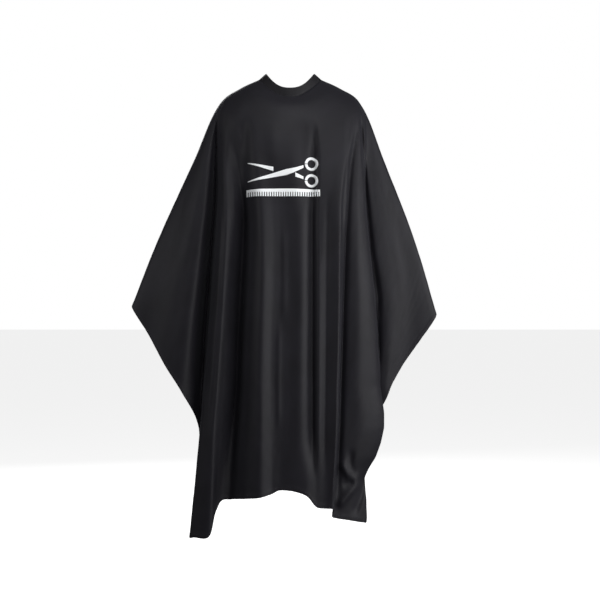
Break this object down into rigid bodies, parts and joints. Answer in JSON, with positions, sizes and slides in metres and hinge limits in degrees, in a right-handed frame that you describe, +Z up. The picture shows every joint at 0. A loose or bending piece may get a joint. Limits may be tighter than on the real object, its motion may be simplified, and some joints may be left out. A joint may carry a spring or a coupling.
{
  "type": "barber cape",
  "caption": "Black polyester hairdressing cape with a stand neckband and snap closure at the nape, hanging as worn with the arms held out.",
  "frame": {"origin": "centre of the neck opening, level with the middle of the neckband's saddle-shaped top edge", "axes": "+Z up out of the neck opening, -Y the front that carries the print, +Y the nape with the closure, +X to the right as seen from the front"},
  "size_m": [0.9293, 0.281, 1.4049],
  "materials": {
    "cape_polyester": "thin plain-woven polyester, calendered to a soft satin sheen",
    "band_polyester": "the same polyester, folded over interfacing and topstitched",
    "band_lining": "matt soft polyester lining",
    "interfacing": "non-woven stiffener, sewn in and hidden",
    "snap_metal": "nickel-plated pressed brass",
    "print_white": "white screen print, a thin flexible film"
  },
  "bodies": {
    "cape": {"cloth_back_left": "cape_polyester", "cloth_back_right": "cape_polyester", "cloth_front": "cape_polyester", "cloth_wing_left": "cape_polyester", "cloth_wing_right": "cape_polyester", "neckband_interfacing": "interfacing", "neckband_lining": "band_lining", "neckband_outer": "band_polyester", "print_comb": "print_white", "print_ring_lower": "print_white", "print_ring_upper": "print_white", "print_shear_blade": "print_white", "print_shear_shank": "print_white", "print_shear_through": "print_white", "snap_socket_1": "snap_metal", "snap_socket_2": "snap_metal", "snap_socket_3": "snap_metal", "snap_socket_4": "snap_metal", "snap_socket_5": "snap_metal", "socket_ring_1": "snap_metal", "socket_ring_2": "snap_metal", "socket_ring_3": "snap_metal", "socket_ring_4": "snap_metal", "socket_ring_5": "snap_metal"},
    "closure_tab": {"snap_stud_1": "snap_metal", "snap_stud_2": "snap_metal", "stud_cap_1": "snap_metal", "stud_cap_2": "snap_metal", "tab_interfacing": "interfacing", "tab_lining": "band_lining", "tab_outer": "band_polyester"}
  },
  "joints": [
    {"name": "closure_tab_hinge", "type": "hinge", "parent": "cape", "child": "closure_tab", "pos_m": [0.01016, 0.06472, -0.02772], "axis": [0, 0, -1], "range_deg": [0, 75]}
  ]
}
